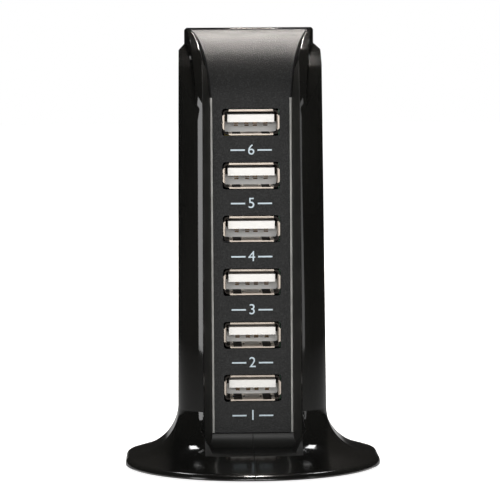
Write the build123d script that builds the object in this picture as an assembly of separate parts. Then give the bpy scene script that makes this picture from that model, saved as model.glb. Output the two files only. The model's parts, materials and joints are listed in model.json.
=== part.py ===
from build123d import *
import os
from math import acos, atan, cos, degrees, pi, radians, sin, sqrt, tan

os.makedirs("parts", exist_ok=True)

# Frame: X to the right, Y to the back, Z up, millimetres, the feet stand on Z = 0.
# Depths are measured from the tower, and the finished pieces move so that the foot's middle is on Y = 0.

# Overall sizes
TOTAL_HEIGHT = 104.8
BASE_WIDTH = 61.2
BASE_DEPTH = 59.2
FOOT_PROUD = 0.5
WALL = 2.0

# Foot of the housing: rounded rim, sloped skirt, hollow curve up to the tower
FOOT_FLAT = 0.6
FOOT_BACK_ROUND = 17.7
FOOT_BACK_RUN = 4.2
RIM_HEIGHT = 1.25
RIM_ROUND = 1.25
SKIRT_SLOPE = 14.5
FLARE_RADIUS = 10.9

# Tower outline in plan
TOWER_LOW_WIDTH = 35.75
TOWER_TOP_WIDTH = 34.05
TOWER_FRONT = -9.8
TOWER_BACK = 22.0
FRONT_ROUND = 9.0
BACK_ROUND = 11.0

# Crown, and the sloped shoulders that stand lower than the spine
CROWN_Y = 13.5
SHOULDER_DROP = 3.9
SHOULDER_SLOPE = 48.0
CROWN_BACK_MARGIN = 0.25
SPINE_FRONT_WIDTH = 25.8
SPINE_TOP_WIDTH = 31.45
SPINE_CHAMFER = 0.6
SPINE_CHAMFER_SLOPE = 45.0

# Front panel and the channel that it lies in
PANEL_FRONT = -6.0
PANEL_THICKNESS = 2.0
PANEL_WIDTH = 19.5
PANEL_CLEARANCE = 0.1
PANEL_EDGE = 0.35
PANEL_SPREAD = 0.3
PANEL_END_Y = 10.0
PANEL_CROWN_DROP = 0.2
PANEL_BOTTOM_Z = 8.0
PANEL_FOOT_GAP = 0.2
CHANNEL_SLANT = 0.62
CHANNEL_REACH = 7.0
CHANNEL_OVERLAP = 0.5
APRON_Z = 4.6
APRON_ROUND = 2.9
WINDOW_MARGIN = 1.5
WINDOW_SILL = 3.0
WINDOW_HEADROOM = 0.6

# USB ports
PORT_COUNT = 6
LOW_PORT_Z = 18.7
TOP_PORT_DROP = 22.6
APERTURE_WIDTH = 13.7
APERTURE_HEIGHT = 6.5
APERTURE_ROUND = 0.7
SHELL_WIDTH = 13.1
SHELL_HEIGHT = 5.7
SHELL_DEPTH = 13.2
SHELL_SHEET = 0.35
SHELL_ROUND = 0.8
SHELL_RECESS = 0.1
LIP_DEPTH = 0.7
LIP_FLARE = 0.2
LIP_CORNER = 1.3
SPRING_X = 3.3
SPRING_WIDTH = 2.2
SPRING_LENGTH = 5.2
SPRING_SLOT = 0.4
SPRING_SETBACK = 3.0
SOCKET_DEPTH = 9.9
TONGUE_WIDTH = 11.1
TONGUE_THICKNESS = 1.84
TONGUE_GAP = 0.68
TONGUE_RECESS = 1.4
CONTACT_WIDTH = 1.0
CONTACT_THICKNESS = 0.35
CONTACT_RECESS = 2.4
CONTACT_X = (-3.5, -1.0, 1.0, 3.5)

# Base plate, its screws and feet
PLATE_SIDE_INSET = 7.4
PLATE_FRONT_INSET = 13.5
PLATE_BACK_INSET = 3.4
PLATE_FRONT_ROUND = 17.5
PLATE_BACK_ROUND = 13.5
PLATE_THICKNESS = 2.2
PLATE_RECESS = 0.2
PLATE_CLEARANCE = 0.15
CAVITY_ROUND = 3.0
BOSS_RADIUS = 3.0
BOSS_TOP_Z = 14.5
FRONT_BOSS_X = 14.0
FRONT_BOSS_SINK = 0.8
BACK_BOSS_X = 11.5
BACK_BOSS_Y = 16.2
SCREW_RADIUS = 1.3
SCREW_LENGTH = 8.0
SCREW_HEAD_RADIUS = 2.5
SCREW_HEAD_HEIGHT = 1.2
SCREW_CLEARANCE = 0.2
FOOT_RADIUS = 4.0
FOOT_SEAT = 0.6
FOOT_MARGIN = 0.6
FRONT_FOOT_SETBACK = 8.0
BACK_FOOT_Y = 10.0

# Mains inlet
INLET_WIDTH = 16.2
INLET_HEIGHT = 9.0
INLET_LENGTH = 14.0
INLET_Z = 9.3
INLET_RECESS = 0.6
INLET_SOCKET_RADIUS = 3.7
INLET_SOCKET_X = 3.55
INLET_WAIST = 5.6
INLET_SOCKET_DEPTH = 11.5
PIN_SPACING = 8.6
PIN_RADIUS = 1.2
PIN_LENGTH = 9.0
PIN_TAIL = 1.5

# Circuit board
BOARD_THICKNESS = 1.6
BOARD_FRONT = -1.6
BOARD_BACK = 16.7
BOARD_BOTTOM_Z = 15.0
BOARD_TOP_DROP = 9.3
BOARD_SHOULDER_DROP = 18.8
BOARD_SHOULDER_Y = 4.5
BOARD_BOSS_Y = 3.0
BOARD_BOSS_RADIUS = 2.8
BOARD_SCREW_RADIUS = 1.0
BOARD_SCREW_LENGTH = 6.0
BOARD_SCREW_HEAD_RADIUS = 2.1
BOARD_SCREW_HEAD_HEIGHT = 1.3
BOARD_SCREW_GAPS = (1, 3, 5)

# Parts on the board, spread evenly up its two sides
PARTS_Y = 12.5
STACK_LOW_MARGIN = 5.4
STACK_TOP_DROP = 23.0
FUSE_RADIUS = 3.6
FUSE_HEIGHT = 7.7
LINE_CAPACITOR_HEIGHT = 11.0
LINE_CAPACITOR_DEPTH = 8.6
LINE_CAPACITOR_WIDTH = 5.6
CHOKE_RADIUS = 3.9
CHOKE_WAIST = 2.9
CHOKE_HEIGHT = 10.0
CHOKE_FLANGE = 1.4
RESERVOIR_COUNT = 2
RESERVOIR_RADIUS = 4.0
RESERVOIR_HEIGHT = 18.0
TRANSFORMER_LENGTH = 12.5
TRANSFORMER_DEPTH = 9.0
TRANSFORMER_HEIGHT = 15.0
CORE_THICKNESS = 4.0
CORE_LEG = 2.2
OUTPUT_RADIUS = 3.4
OUTPUT_HEIGHT = 12.0
LOW_OUTPUT_Y = 12.9
LOW_OUTPUT_DROP = 18.8
HIGH_OUTPUT_Y = 8.2
HIGH_OUTPUT_DROP = 13.4
CAN_CHAMFER = 0.6
BACK_PARTS_Y = 11.2
BACK_LOW_MARGIN = 18.0
BACK_TOP_DROP = 19.5
BRIDGE_SIZE = (2.5, 8.0, 6.0)
CHIP_SIZE = (1.6, 5.0, 4.0)
COUPLER_SIZE = (2.2, 6.5, 4.6)
DIODE_SIZE = (2.4, 9.0, 6.6)
LEAD_RADIUS = 0.9
LIVE_LEAD_Y = 10.4
LIVE_LEAD_Z = 17.4
NEUTRAL_LEAD_Y = 14.4
NEUTRAL_LEAD_Z = 18.2

# How finely curved outlines are drawn, and how far cuts run past what they cut
RIM_STEPS = 3
FLARE_STEPS = 5
BEND_STEPS = 4
CUT_MARGIN = 1.0
REACH = 200.0
NEAR = 0.01

# Sizes that follow from the ones above
BASE_HALF = BASE_WIDTH / 2
RIM_BOTTOM_Z = FOOT_PROUD
RIM_TOP_Z = RIM_BOTTOM_Z + RIM_HEIGHT
FLARE_RUN = BASE_HALF - TOWER_LOW_WIDTH / 2
FLARE_TURN = radians(90.0 - SKIRT_SLOPE)
RIM_CENTRE_Z = RIM_TOP_Z - RIM_ROUND * tan(FLARE_TURN / 2)
FLARE_ARC_RUN = FLARE_RADIUS * (1 - cos(FLARE_TURN))
SKIRT_TOP_Z = RIM_TOP_Z + (FLARE_RUN - FLARE_ARC_RUN) * tan(radians(SKIRT_SLOPE))
FLARE_TOP_Z = SKIRT_TOP_Z + FLARE_RADIUS * sin(FLARE_TURN)
TOWER_RISE = TOTAL_HEIGHT - FLARE_TOP_Z
TOWER_LEAN = (TOWER_LOW_WIDTH - TOWER_TOP_WIDTH) / 2
TAPER = degrees(atan(TOWER_LEAN / TOWER_RISE))
TOWER_TOP_BACK = TOWER_BACK - TOWER_LEAN
CROWN_FRONT = TOWER_FRONT + TOWER_LEAN * (TOWER_RISE - CROWN_Y + TOWER_FRONT) / TOWER_RISE
BASE_BACK = TOWER_BACK + FOOT_BACK_RUN
BASE_FRONT = BASE_BACK - BASE_DEPTH
BASE_MIDDLE = (BASE_FRONT + BASE_BACK) / 2
FOOT_FRONT_ROUND = BASE_HALF - FOOT_FLAT
TOWER_PLAN = (TOWER_LOW_WIDTH / 2, TOWER_FRONT, TOWER_BACK, FRONT_ROUND, BACK_ROUND)
FOOT_PLAN = (BASE_HALF, BASE_FRONT, BASE_BACK, FOOT_FRONT_ROUND, FOOT_BACK_ROUND)
POCKET_HALF = BASE_HALF - PLATE_SIDE_INSET
POCKET_FRONT = BASE_FRONT + PLATE_FRONT_INSET
POCKET_BACK = BASE_BACK - PLATE_BACK_INSET
POCKET_PLAN = (POCKET_HALF, POCKET_FRONT, POCKET_BACK, PLATE_FRONT_ROUND, PLATE_BACK_ROUND)
FRONT_FOOT_Y = POCKET_FRONT + FRONT_FOOT_SETBACK
PANEL_HALF = PANEL_WIDTH / 2
PANEL_RADIUS = CROWN_Y - PANEL_FRONT
PANEL_ARC_Z = TOTAL_HEIGHT - PANEL_CROWN_DROP - PANEL_RADIUS
PANEL_END_TURN = acos((CROWN_Y - PANEL_END_Y) / PANEL_RADIUS)
PANEL_BACK = PANEL_FRONT + PANEL_THICKNESS
CAVITY_FRONT = PANEL_BACK + WALL
FRONT_BOSS_Y = CAVITY_FRONT + BOSS_RADIUS - FRONT_BOSS_SINK
CAVITY_TOP_Z = TOTAL_HEIGHT - SHOULDER_DROP - WALL
PLATE_BOTTOM_Z = RIM_BOTTOM_Z + PLATE_RECESS
PLATE_TOP_Z = PLATE_BOTTOM_Z + PLATE_THICKNESS
TOP_PORT_Z = TOTAL_HEIGHT - TOP_PORT_DROP
PORT_PITCH = (TOP_PORT_Z - LOW_PORT_Z) / (PORT_COUNT - 1)
WINDOW_HALF = PANEL_HALF - WINDOW_MARGIN
WINDOW_LOW_Z = PANEL_BOTTOM_Z + WINDOW_SILL
WINDOW_TOP_Z = TOP_PORT_Z + APERTURE_HEIGHT / 2 + WINDOW_HEADROOM
BOARD_X = SHELL_WIDTH / 2
BOARD_FAR_X = BOARD_X + BOARD_THICKNESS
BOARD_TOP_Z = TOTAL_HEIGHT - BOARD_TOP_DROP
BOARD_SHOULDER_Z = TOTAL_HEIGHT - BOARD_SHOULDER_DROP
SHELL_FRONT = PANEL_FRONT + SHELL_RECESS
INLET_FACE_Y = TOWER_BACK - INLET_RECESS
INLET_BACK_Y = INLET_FACE_Y - INLET_LENGTH
INLET_TOP_Z = INLET_Z + INLET_HEIGHT / 2
BOSS_PLACES = ((FRONT_BOSS_X, FRONT_BOSS_Y), (BACK_BOSS_X, BACK_BOSS_Y))
HEAD_SEAT_Z = PLATE_BOTTOM_Z + SCREW_HEAD_HEIGHT
BOARD_SCREW_ZS = [LOW_PORT_Z + PORT_PITCH * gap - PORT_PITCH / 2 for gap in BOARD_SCREW_GAPS]


def block(x_low, x_high, y_low, y_high, z_low, z_high):
    """A box between the given limits."""
    size = Box(x_high - x_low, y_high - y_low, z_high - z_low)
    return Pos((x_low + x_high) / 2, (y_low + y_high) / 2, (z_low + z_high) / 2) * size


def post(x, y, z_low, z_high, radius):
    """An upright cylinder."""
    return Pos(x, y, (z_low + z_high) / 2) * Cylinder(radius, z_high - z_low)


def rod(x_low, x_high, y, z, radius):
    """A cylinder along X."""
    return Pos((x_low + x_high) / 2, y, z) * Rot(0, 90, 0) * Cylinder(radius, x_high - x_low)


def mix(start, end, share):
    """A value between two others."""
    return start + (end - start) * share


def inset_plan(plan, inset):
    """The sizes of a plan outline drawn in by an inset."""
    half, front, back, front_round, back_round = plan
    return (half - inset, front + inset, back - inset, front_round - inset, back_round - inset)


def flare_plan(share):
    """Plan sizes between the tower's (share 0) and the foot's (share 1)."""
    return tuple(mix(tower, foot, share) for tower, foot in zip(TOWER_PLAN, FOOT_PLAN))


def left_edges(plan, z):
    """The left side of a rounded rectangle in plan, from its back to its front."""
    half, front, back, front_round, back_round = plan
    corner = cos(pi / 4)
    back_x = back_round - half
    back_y = back - back_round
    front_x = front_round - half
    front_y = front + front_round
    back_bend = (back_x - back_round * corner, back_y + back_round * corner, z)
    front_bend = (front_x - front_round * corner, front_y - front_round * corner, z)
    return [
        Line((0, back, z), (back_x, back, z)),
        ThreePointArc((back_x, back, z), back_bend, (-half, back_y, z)),
        Line((-half, back_y, z), (-half, front_y, z)),
        ThreePointArc((-half, front_y, z), front_bend, (front_x, front, z)),
        Line((front_x, front, z), (0, front, z)),
    ]


def half_face(plan, z):
    """The left half of a plan outline."""
    return make_face(left_edges(plan, z) + [Line((0, plan[1], z), (0, plan[2], z))])


def whole_face(plan, z):
    """A plan outline on both sides."""
    left = left_edges(plan, z)
    return make_face(left + [mirror(edge, Plane.YZ) for edge in left])


def plan_reach(plan, y):
    """Half the width of a plan outline at a depth."""
    half, front, back, front_round, back_round = plan
    ahead = front + front_round - y
    behind = y - (back - back_round)
    if ahead > 0:
        return half - front_round + sqrt(front_round ** 2 - ahead ** 2)
    if behind > 0:
        return half - back_round + sqrt(back_round ** 2 - behind ** 2)
    return half


def spread(lengths, low, high):
    """Middles of pieces of given lengths, set with even gaps from low to high."""
    gap = (high - low - sum(lengths)) / (len(lengths) - 1)
    places = []
    for length in lengths:
        places.append(low + length / 2)
        low = low + length + gap
    return places


def left_slope(x, z, slope):
    """The region above a plane that falls to the left from a point, all along Y."""
    far_z = z - REACH * tan(radians(slope))
    corners = [(-x, z), (-x - REACH, far_z), (-x - REACH, z + REACH), (-x, z + REACH)]
    outline = Polyline(*corners, close=True)
    return extrude(Plane.XZ * make_face(outline), amount=REACH, both=True)


def crown_prism(front, crown_z, back_radius, half_width):
    """The region under a crown profile drawn in the side view, carried along X."""
    front_radius = CROWN_Y - front
    arc_z = crown_z - front_radius
    back_z = crown_z - back_radius
    start = (front, arc_z)
    middle = (CROWN_Y - front_radius * cos(pi / 4), arc_z + front_radius * sin(pi / 4))
    crown = (CROWN_Y, crown_z)
    back_middle = (CROWN_Y + back_radius * cos(pi / 4), back_z + back_radius * sin(pi / 4))
    back = (CROWN_Y + back_radius, back_z)
    below = ((REACH, back_z), (REACH, -REACH), (-REACH, -REACH), (-REACH, arc_z))
    lines = [
        ThreePointArc(start, middle, crown),
        ThreePointArc(crown, back_middle, back),
        Polyline(back, *below, start),
    ]
    face = Plane.YZ * make_face(lines)
    return extrude(face, amount=half_width, both=True)


def bend_face(turn, right_corners):
    """A section across the bend over the crown; corners are (x beyond the panel's half, radius)."""
    half = PANEL_HALF + PANEL_SPREAD * PANEL_RADIUS * (1 - cos(turn))
    right = [(half + x, radius) for x, radius in right_corners]
    corners = right + [(-x, radius) for x, radius in reversed(right)]
    points = [(x, CROWN_Y - r * cos(turn), PANEL_ARC_Z + r * sin(turn)) for x, r in corners]
    return make_face(Polyline(*points, close=True))


def bend_band(right_corners):
    """A solid of one section carried round the bend over the crown."""
    turns = [PANEL_END_TURN * i / BEND_STEPS for i in range(BEND_STEPS + 1)]
    return loft([bend_face(turn, right_corners) for turn in turns])


def panel_band(right_corners, foot_z):
    """A slab of one section: flat in front, bent over the crown."""
    flat = extrude(bend_face(0.0, right_corners), amount=PANEL_ARC_Z - foot_z, dir=(0, 0, -1))
    return flat + bend_band(right_corners)


def port_places():
    """Port numbers from the lowest up, with their heights."""
    return [(n + 1, LOW_PORT_Z + n * PORT_PITCH) for n in range(PORT_COUNT)]


# Housing, outside: rim, skirt and hollow curve up to the tower, one band on the other
rim_turns = [FLARE_TURN * i / RIM_STEPS for i in range(RIM_STEPS + 1)]
rim_shares = [1 - RIM_ROUND * (1 - cos(turn)) / FLARE_RUN for turn in rim_turns]
rim_zs = [RIM_CENTRE_Z + RIM_ROUND * sin(turn) for turn in rim_turns]
flare_turns = [FLARE_TURN * (1 - i / FLARE_STEPS) for i in range(FLARE_STEPS + 1)]
flare_shares = [FLARE_RADIUS * (1 - cos(turn)) / FLARE_RUN for turn in flare_turns]
flare_zs = [FLARE_TOP_Z - FLARE_RADIUS * sin(turn) for turn in flare_turns]
rim_faces = [half_face(flare_plan(share), z) for share, z in zip(rim_shares, rim_zs)]
flare_faces = [half_face(flare_plan(share), z) for share, z in zip(flare_shares, flare_zs)]
rim_edge = extrude(half_face(FOOT_PLAN, RIM_BOTTOM_Z), amount=RIM_CENTRE_Z - RIM_BOTTOM_Z, dir=(0, 0, 1))
skirt = loft([rim_faces[-1], flare_faces[0]], ruled=True)
tower_height = TOWER_RISE + CUT_MARGIN
tower = extrude(whole_face(TOWER_PLAN, FLARE_TOP_Z), amount=tower_height, taper=TAPER)
left_side = block(-REACH, 0, -REACH, REACH, -REACH, REACH)
whole = rim_edge + loft(rim_faces) + skirt + loft(flare_faces) + (tower & left_side)

# Crown, shoulders and the two sides of the spine
crown_back = TOWER_TOP_BACK + CROWN_BACK_MARGIN - CROWN_Y
shoulder_z = TOTAL_HEIGHT - SHOULDER_DROP
spine_region = crown_prism(CROWN_FRONT, TOTAL_HEIGHT, crown_back, REACH)
shoulder_region = crown_prism(CROWN_FRONT, shoulder_z, crown_back, REACH)
spine_half = SPINE_FRONT_WIDTH / 2
spine_top_half = SPINE_TOP_WIDTH / 2
spine_plan = Polyline(
    (REACH, -REACH),
    (REACH, REACH),
    (spine_top_half, REACH),
    (spine_top_half, CROWN_Y),
    (spine_half, TOWER_FRONT),
    (spine_half, -REACH),
    close=True,
)
beside_spine = extrude(make_face(mirror(spine_plan, Plane.YZ)), amount=REACH)
outside = whole & spine_region
outside = outside - (beside_spine - shoulder_region)
outside = outside - left_slope(spine_top_half, shoulder_z, SHOULDER_SLOPE)
outside = outside - left_slope(spine_top_half - SPINE_CHAMFER, TOTAL_HEIGHT, SPINE_CHAMFER_SLOPE)

# Channel for the panel, with the apron that sweeps forward below it
front_reach = PANEL_HALF + CHANNEL_SLANT * REACH
wall_plan = Polyline(
    (-PANEL_HALF, PANEL_FRONT),
    (PANEL_HALF, PANEL_FRONT),
    (front_reach, PANEL_FRONT - REACH),
    (-front_reach, PANEL_FRONT - REACH),
    close=True,
)
wall_front = Polyline(
    (-PANEL_HALF, APRON_Z),
    (PANEL_HALF, APRON_Z),
    (front_reach, APRON_Z + REACH),
    (-front_reach, APRON_Z + REACH),
    close=True,
)
upright = Pos(0, 0, APRON_Z) * extrude(make_face(wall_plan), amount=PANEL_ARC_Z - APRON_Z)
level = extrude(Plane.XZ * make_face(wall_front), amount=REACH)
channel = upright & level
apron_edges = [
    e for e in channel.edges()
    if abs(e.center().Y - PANEL_FRONT) < NEAR and abs(e.center().Z - APRON_Z) < NEAR
]
channel = fillet(apron_edges, APRON_ROUND)
crown_channel = bend_band([
    (-CHANNEL_SLANT * CHANNEL_OVERLAP, PANEL_RADIUS - CHANNEL_OVERLAP),
    (CHANNEL_SLANT * CHANNEL_REACH, PANEL_RADIUS + CHANNEL_REACH),
])

# Inside of the housing
cavity_half = TOWER_TOP_WIDTH / 2 - WALL
cavity_plan = (cavity_half, CAVITY_FRONT, TOWER_TOP_BACK - WALL, CAVITY_ROUND, BACK_ROUND - WALL)
cavity = extrude(half_face(cavity_plan, PLATE_TOP_Z), amount=TOTAL_HEIGHT, dir=(0, 0, 1))
cavity = cavity & crown_prism(CAVITY_FRONT, CAVITY_TOP_Z, crown_back - WALL, REACH)
window = block(
    -WINDOW_HALF,
    WINDOW_HALF,
    PANEL_BACK - CUT_MARGIN,
    CAVITY_FRONT + CUT_MARGIN,
    WINDOW_LOW_Z,
    WINDOW_TOP_Z,
)
plate_pocket = extrude(half_face(POCKET_PLAN, RIM_BOTTOM_Z), amount=PLATE_TOP_Z - RIM_BOTTOM_Z, dir=(0, 0, 1))
inlet_hole = block(
    -INLET_WIDTH / 2,
    INLET_WIDTH / 2,
    INLET_BACK_Y,
    REACH,
    INLET_Z - INLET_HEIGHT / 2,
    INLET_TOP_Z,
)
pocket_corners = [(0, PANEL_RADIUS - PANEL_THICKNESS), (0, PANEL_RADIUS + CHANNEL_OVERLAP)]
panel_pocket = panel_band(pocket_corners, PANEL_BOTTOM_Z - PANEL_FOOT_GAP)
half_housing = outside - channel - crown_channel - panel_pocket
half_housing = half_housing - cavity - window - inlet_hole
half_housing = half_housing - plate_pocket
for x, y in BOSS_PLACES:
    half_housing = half_housing + post(-x, y, PLATE_TOP_Z, BOSS_TOP_Z, BOSS_RADIUS)
    half_housing = half_housing - post(-x, y, PLATE_TOP_Z, HEAD_SEAT_Z + SCREW_LENGTH, SCREW_RADIUS)
housing_left = half_housing
housing_right = mirror(half_housing, Plane.YZ)
for z in BOARD_SCREW_ZS:
    boss = rod(BOARD_FAR_X, TOWER_TOP_WIDTH / 2 - WALL / 2, BOARD_BOSS_Y, z, BOARD_BOSS_RADIUS)
    pilot = rod(BOARD_FAR_X, BOARD_X + BOARD_SCREW_LENGTH, BOARD_BOSS_Y, z, BOARD_SCREW_RADIUS)
    housing_right = housing_right + boss
    housing_right = housing_right - pilot

# Front panel
panel_corners = [
    (-PANEL_CLEARANCE, PANEL_RADIUS - PANEL_THICKNESS),
    (-PANEL_CLEARANCE, PANEL_RADIUS - PANEL_EDGE),
    (-PANEL_CLEARANCE - PANEL_EDGE, PANEL_RADIUS),
]
front_panel = panel_band(panel_corners, PANEL_BOTTOM_Z)
for number, z in port_places():
    hole = RectangleRounded(APERTURE_WIDTH, APERTURE_HEIGHT, APERTURE_ROUND)
    hole = Plane.XZ.offset(CUT_MARGIN - PANEL_FRONT) * Pos(0, z) * hole
    front_panel = front_panel - extrude(hole, amount=-(PANEL_THICKNESS + 2 * CUT_MARGIN))

# Base plate, screws and feet
plate_plan = inset_plan(POCKET_PLAN, PLATE_CLEARANCE)
half_plate = extrude(half_face(plate_plan, PLATE_BOTTOM_Z), amount=PLATE_THICKNESS, dir=(0, 0, 1))
foot_places = []
for y, edge_y in ((FRONT_FOOT_Y, FRONT_FOOT_Y - FOOT_RADIUS), (BACK_FOOT_Y, BACK_FOOT_Y + FOOT_RADIUS)):
    foot_x = plan_reach(plate_plan, edge_y) - FOOT_RADIUS - FOOT_MARGIN
    foot_places.append((foot_x, y))
for x, y in BOSS_PLACES:
    half_plate = half_plate - post(-x, y, PLATE_BOTTOM_Z, HEAD_SEAT_Z, SCREW_HEAD_RADIUS + SCREW_CLEARANCE)
    half_plate = half_plate - post(-x, y, HEAD_SEAT_Z, PLATE_TOP_Z, SCREW_RADIUS + SCREW_CLEARANCE)
for x, y in foot_places:
    half_plate = half_plate - post(-x, y, PLATE_BOTTOM_Z, PLATE_BOTTOM_Z + FOOT_SEAT, FOOT_RADIUS)
base_plate = half_plate + mirror(half_plate, Plane.YZ)
base_screws = []
feet = {}
for side, side_name in ((-1, "left"), (1, "right")):
    for x, y in BOSS_PLACES:
        head = post(side * x, y, PLATE_BOTTOM_Z, HEAD_SEAT_Z, SCREW_HEAD_RADIUS)
        base_screws.append(head + post(side * x, y, HEAD_SEAT_Z, HEAD_SEAT_Z + SCREW_LENGTH, SCREW_RADIUS))
    for (x, y), place in zip(foot_places, ("front", "back")):
        feet[f"foot_{place}_{side_name}"] = post(side * x, y, 0.0, PLATE_BOTTOM_Z + FOOT_SEAT, FOOT_RADIUS)


def socket_tube(width, height, corner, start, end):
    """A rounded bar along Y, from one depth to another."""
    face = RectangleRounded(width, height, corner)
    return extrude(Plane.XZ.offset(-start) * face, amount=start - end)


def flared_bar(width, height, corner):
    """A bar that widens to the front over the depth of the lips."""
    wide = RectangleRounded(width + 2 * LIP_FLARE, height + 2 * LIP_FLARE, corner)
    narrow = RectangleRounded(width, height, corner)
    return loft([Plane.XZ * wide, Plane.XZ.offset(-LIP_DEPTH) * narrow], ruled=True)


# One USB-A receptacle, its front face on Y = 0
inner_width = SHELL_WIDTH - 2 * SHELL_SHEET
inner_height = SHELL_HEIGHT - 2 * SHELL_SHEET
inner_round = SHELL_ROUND - SHELL_SHEET
shell = socket_tube(SHELL_WIDTH, SHELL_HEIGHT, SHELL_ROUND, LIP_DEPTH, SHELL_DEPTH)
shell = shell + flared_bar(SHELL_WIDTH, SHELL_HEIGHT, SHELL_ROUND)
shell = shell - socket_tube(inner_width, inner_height, inner_round, LIP_DEPTH, SHELL_DEPTH)
shell = shell - flared_bar(inner_width, inner_height, inner_round)
lip_x = SHELL_WIDTH / 2 - LIP_CORNER
lip_z = SHELL_HEIGHT / 2 - LIP_CORNER
for side in (-1, 1):
    for level in (-1, 1):
        corner_x = sorted((side * lip_x, side * SHELL_WIDTH))
        corner_z = sorted((level * lip_z, level * SHELL_HEIGHT))
        shell = shell - block(*corner_x, 0.0, LIP_DEPTH, *corner_z)
        slot_z = level * SHELL_HEIGHT / 2
        centre = side * SPRING_X
        slot_end = SPRING_SETBACK + SPRING_LENGTH
        cut_low = slot_z - CUT_MARGIN
        cut_high = slot_z + CUT_MARGIN
        outer = block(
            centre - SPRING_WIDTH / 2 - SPRING_SLOT,
            centre + SPRING_WIDTH / 2 + SPRING_SLOT,
            SPRING_SETBACK,
            slot_end,
            cut_low,
            cut_high,
        )
        finger = block(
            centre - SPRING_WIDTH / 2,
            centre + SPRING_WIDTH / 2,
            SPRING_SETBACK,
            slot_end - SPRING_SLOT,
            cut_low,
            cut_high,
        )
        shell = shell - (outer - finger)
tongue_top = inner_height / 2 - TONGUE_GAP
tongue_low = tongue_top - TONGUE_THICKNESS
insulator = socket_tube(inner_width, inner_height, inner_round, SOCKET_DEPTH, SHELL_DEPTH)
insulator = insulator + block(
    -TONGUE_WIDTH / 2, TONGUE_WIDTH / 2, TONGUE_RECESS, SOCKET_DEPTH, tongue_low, tongue_top
)
contacts = []
for x in CONTACT_X:
    strip = block(
        x - CONTACT_WIDTH / 2,
        x + CONTACT_WIDTH / 2,
        CONTACT_RECESS,
        SHELL_DEPTH,
        tongue_low - CONTACT_THICKNESS,
        tongue_low,
    )
    insulator = insulator - strip
    contacts.append(strip)

# Mains inlet
socket_floor_y = INLET_FACE_Y - INLET_SOCKET_DEPTH
mains_inlet = block(
    -INLET_WIDTH / 2,
    INLET_WIDTH / 2,
    INLET_BACK_Y,
    INLET_FACE_Y,
    INLET_Z - INLET_HEIGHT / 2,
    INLET_TOP_Z,
)
mains_inlet = mains_inlet - block(
    -INLET_SOCKET_X,
    INLET_SOCKET_X,
    socket_floor_y,
    INLET_FACE_Y,
    INLET_Z - INLET_WAIST / 2,
    INLET_Z + INLET_WAIST / 2,
)
inlet_pins = []
for side in (-1, 1):
    lobe = Cylinder(INLET_SOCKET_RADIUS, INLET_SOCKET_DEPTH)
    lobe_y = (socket_floor_y + INLET_FACE_Y) / 2
    mains_inlet = mains_inlet - Pos(side * INLET_SOCKET_X, lobe_y, INLET_Z) * Rot(90, 0, 0) * lobe
    pin_start = INLET_BACK_Y - PIN_TAIL
    pin_end = socket_floor_y + PIN_LENGTH
    pin_y = (pin_start + pin_end) / 2
    pin = Cylinder(PIN_RADIUS, pin_end - pin_start)
    pin = Pos(side * PIN_SPACING / 2, pin_y, INLET_Z) * Rot(90, 0, 0) * pin
    mains_inlet = mains_inlet - pin
    inlet_pins.append(pin)

# Circuit board and its screws
board_outline = Polyline(
    (BOARD_FRONT, BOARD_BOTTOM_Z),
    (BOARD_BACK, BOARD_BOTTOM_Z),
    (BOARD_BACK, BOARD_TOP_Z),
    (BOARD_SHOULDER_Y, BOARD_TOP_Z),
    (BOARD_FRONT, BOARD_SHOULDER_Z),
    close=True,
)
main_board = extrude(Plane.YZ.offset(BOARD_X) * make_face(board_outline), amount=BOARD_THICKNESS)
board_screws = []
for z in BOARD_SCREW_ZS:
    main_board = main_board - rod(
        BOARD_X, BOARD_FAR_X, BOARD_BOSS_Y, z, BOARD_SCREW_RADIUS + SCREW_CLEARANCE
    )
    screw = rod(BOARD_X - BOARD_SCREW_HEAD_HEIGHT, BOARD_X, BOARD_BOSS_Y, z, BOARD_SCREW_HEAD_RADIUS)
    screw = screw + rod(BOARD_X, BOARD_X + BOARD_SCREW_LENGTH, BOARD_BOSS_Y, z, BOARD_SCREW_RADIUS)
    board_screws.append(screw)


def can(y, z, radius, height):
    """A round capacitor that stands on the board, its far edge cut off."""
    body = rod(BOARD_X - height, BOARD_X, y, z, radius)
    return chamfer(body.edges().sort_by(Axis.X)[0], CAN_CHAMFER)


def chip(y, z, size, side):
    """A flat part on the board: side -1 is the receptacles' side, 1 the far side."""
    start = BOARD_X if side < 0 else BOARD_FAR_X
    ends = sorted((start, start + side * size[0]))
    return block(ends[0], ends[1], y - size[1] / 2, y + size[1] / 2, z - size[2] / 2, z + size[2] / 2)


# Parts of the mains supply on the board
stack_lengths = [2 * FUSE_RADIUS, LINE_CAPACITOR_WIDTH, 2 * CHOKE_RADIUS]
stack_lengths += [2 * RESERVOIR_RADIUS] * RESERVOIR_COUNT + [TRANSFORMER_LENGTH]
stack = spread(stack_lengths, BOARD_BOTTOM_Z + STACK_LOW_MARGIN, TOTAL_HEIGHT - STACK_TOP_DROP)
fuse_z, line_capacitor_z, choke_z, *reservoir_zs, transformer_z = stack
back_sizes = [BRIDGE_SIZE, CHIP_SIZE, COUPLER_SIZE, DIODE_SIZE]
back_lengths = [size[2] for size in back_sizes]
back_zs = spread(back_lengths, BOARD_BOTTOM_Z + BACK_LOW_MARGIN, TOTAL_HEIGHT - BACK_TOP_DROP)
back_parts = [chip(BACK_PARTS_Y, z, size, 1) for z, size in zip(back_zs, back_sizes)]
fuse = can(PARTS_Y, fuse_z, FUSE_RADIUS, FUSE_HEIGHT)
line_capacitor_size = (LINE_CAPACITOR_HEIGHT, LINE_CAPACITOR_DEPTH, LINE_CAPACITOR_WIDTH)
line_capacitor = chip(PARTS_Y, line_capacitor_z, line_capacitor_size, -1)
choke_end = BOARD_X - CHOKE_HEIGHT
line_choke = rod(choke_end, BOARD_X, PARTS_Y, choke_z, CHOKE_WAIST)
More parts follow.
